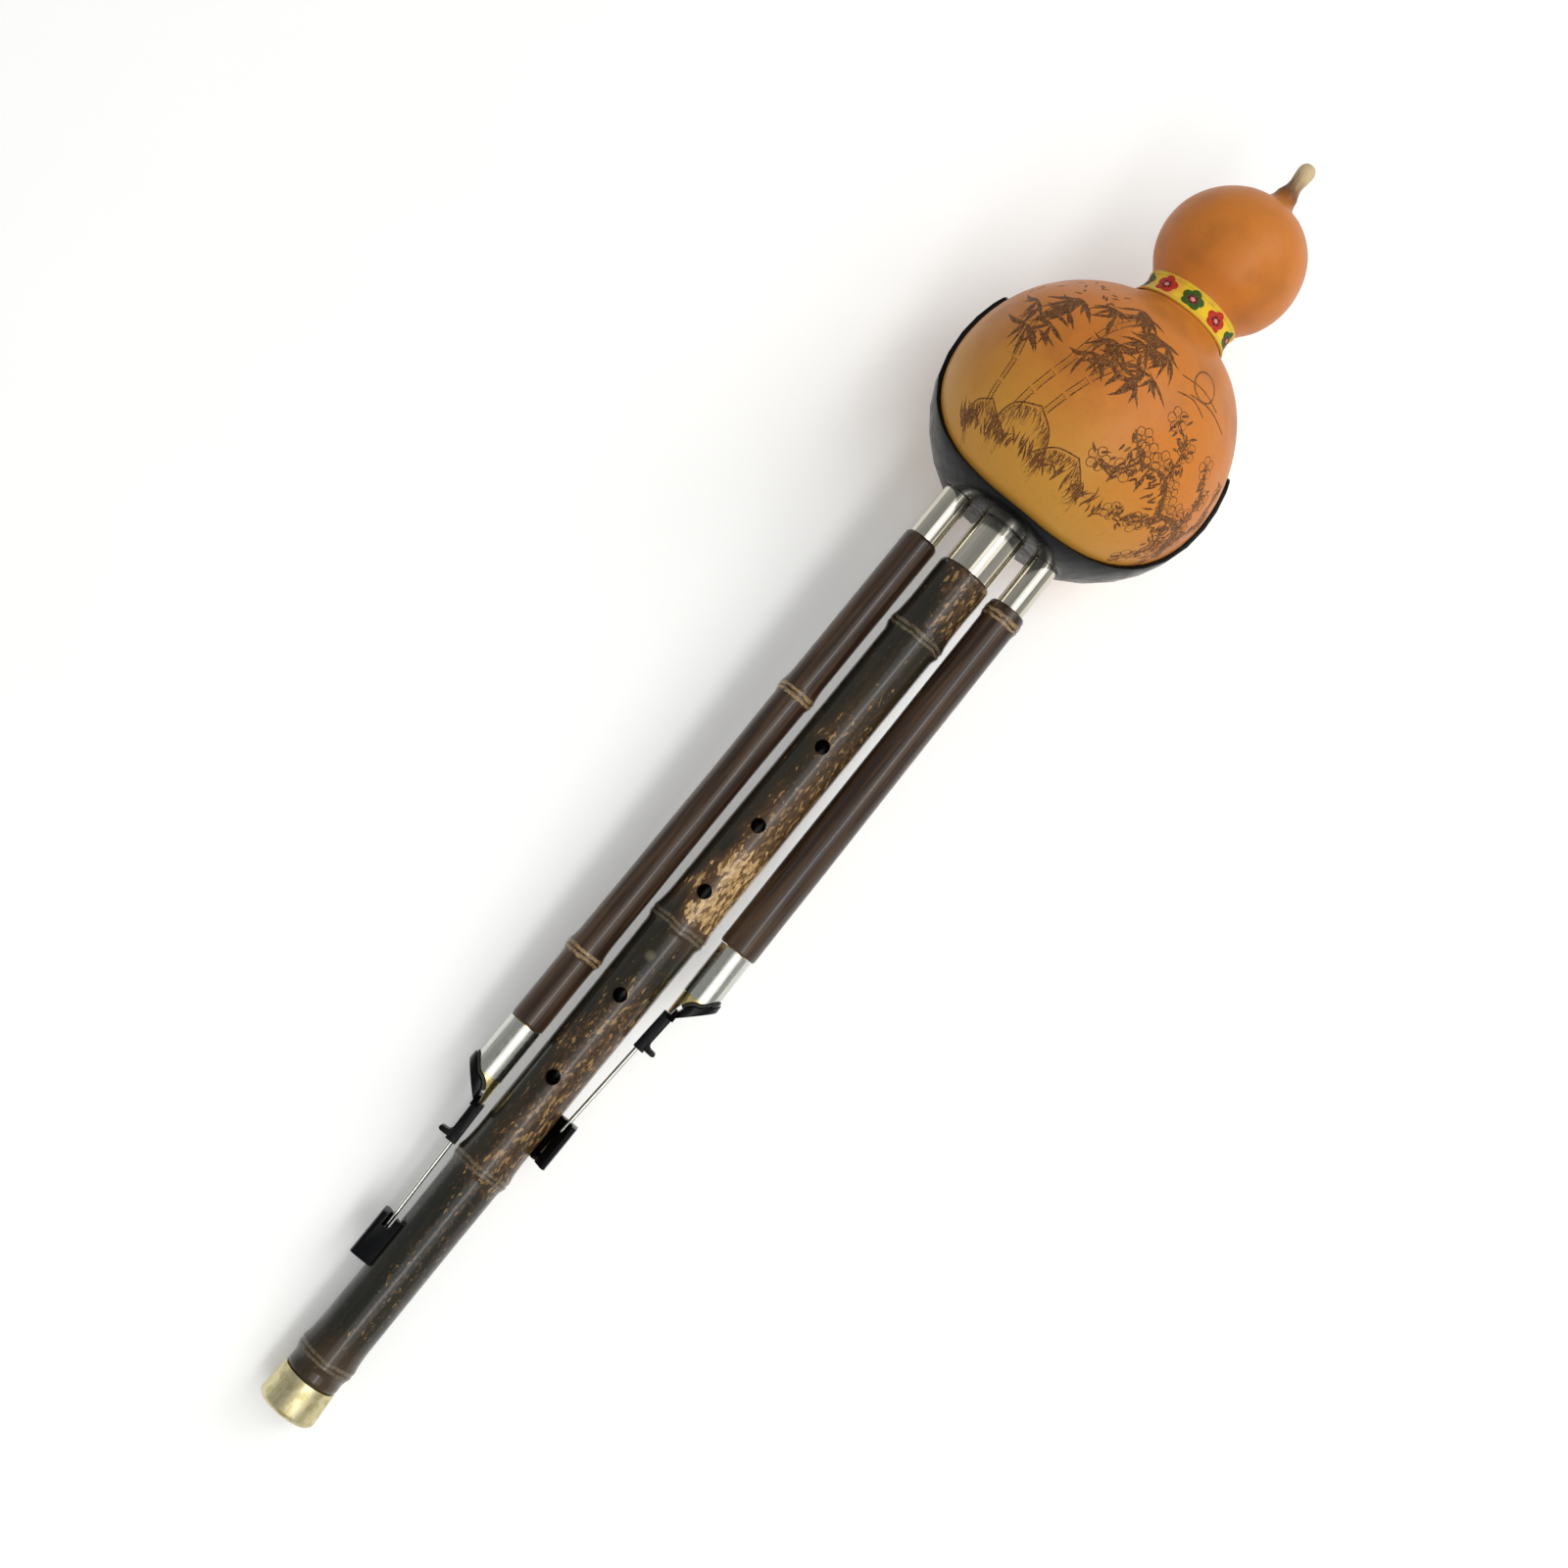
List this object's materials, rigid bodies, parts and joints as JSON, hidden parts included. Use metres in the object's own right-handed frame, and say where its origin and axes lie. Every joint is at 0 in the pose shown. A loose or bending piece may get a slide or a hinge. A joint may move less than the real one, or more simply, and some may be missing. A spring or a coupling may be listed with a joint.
{
  "type": "gourd free-reed flute",
  "caption": "Gourd flute with a fingered bamboo pipe between a long and a short drone, cut-away metal drone mouths with sliding shutters, a moulded base cap and a drilled stalk mouthpiece.",
  "frame": {"origin": "centre of the bounding box's floor, with the flute lying on its back on the gourd and the foot ring", "axes": "+Y towards the mouthpiece, +Z towards the side with the finger holes, +X towards the short drone; the pipes rise 5.5 degrees towards the gourd"},
  "size_m": [0.1096, 0.559, 0.1054],
  "materials": {
    "varnished_gourd": "clear gloss varnish over a dried orange-brown gourd",
    "ribbon": "woven yellow jacquard ribbon with small green and red flowers",
    "stalk": "dry, pale stalk, darker at its foot",
    "black_plastic": "moulded black with a satin gloss",
    "black_rubber": "matt soft rubber",
    "chromed_tube": "bright chrome plate",
    "reed_brass": "rolled, plain",
    "liner_brass": "drawn, satin",
    "cork": "sheet cork, greased",
    "mottled_bamboo": "dark mottled bamboo under gloss varnish",
    "dark_bamboo": "dark bamboo under gloss varnish",
    "champagne_metal": "pale champagne plate, satin",
    "ferrule_steel": "bright, lightly brushed"
  },
  "bodies": {
    "gourd_base": {"gourd_shell": "varnished_gourd", "neck_ribbon": "ribbon", "mouthpiece_stem": "stalk", "base_cap": "black_plastic", "main_neck_tube": "chromed_tube", "main_reed": "reed_brass", "main_reed_plug": "reed_brass", "main_tuning_cork": "cork", "main_tube_seal": "black_rubber", "left_neck_tube": "chromed_tube", "left_reed": "reed_brass", "left_reed_plug": "reed_brass", "left_tuning_cork": "cork", "left_tube_seal": "black_rubber", "right_neck_tube": "chromed_tube", "right_reed": "reed_brass", "right_reed_plug": "reed_brass", "right_tuning_cork": "cork", "right_tube_seal": "black_rubber"},
    "main_pipe": {"main_pipe": "mottled_bamboo", "foot_ring": "champagne_metal", "left_rod_guide": "black_plastic", "right_rod_guide": "black_plastic"},
    "left_drone": {"left_drone_pipe": "dark_bamboo", "left_mouth_sleeve": "ferrule_steel", "left_mouth_liner": "liner_brass", "left_shutter_rod": "ferrule_steel"},
    "right_drone": {"right_drone_pipe": "dark_bamboo", "right_mouth_sleeve": "ferrule_steel", "right_mouth_liner": "liner_brass", "right_shutter_rod": "ferrule_steel"},
    "left_shutter": {"left_shutter": "black_plastic", "left_shutter_pad": "black_rubber"},
    "right_shutter": {"right_shutter": "black_plastic", "right_shutter_pad": "black_rubber"}
  },
  "joints": [
    {"name": "main_tuning", "type": "slide", "parent": "gourd_base", "child": "main_pipe", "axis": [0, -0.9953, -0.0964], "range_m": [0, 0.01]},
    {"name": "left_tuning", "type": "slide", "parent": "gourd_base", "child": "left_drone", "axis": [0, -0.9953, -0.0964], "range_m": [0, 0.008]},
    {"name": "right_tuning", "type": "slide", "parent": "gourd_base", "child": "right_drone", "axis": [0.0115, -0.9953, -0.0964], "range_m": [0, 0.008]},
    {"name": "left_shutter_slide", "type": "slide", "parent": "left_drone", "child": "left_shutter", "axis": [0.0253, -0.995, -0.0964], "range_m": [0, 0.022]},
    {"name": "right_shutter_slide", "type": "slide", "parent": "right_drone", "child": "right_shutter", "axis": [-0.0506, -0.9941, -0.0963], "range_m": [0, 0.022]}
  ]
}
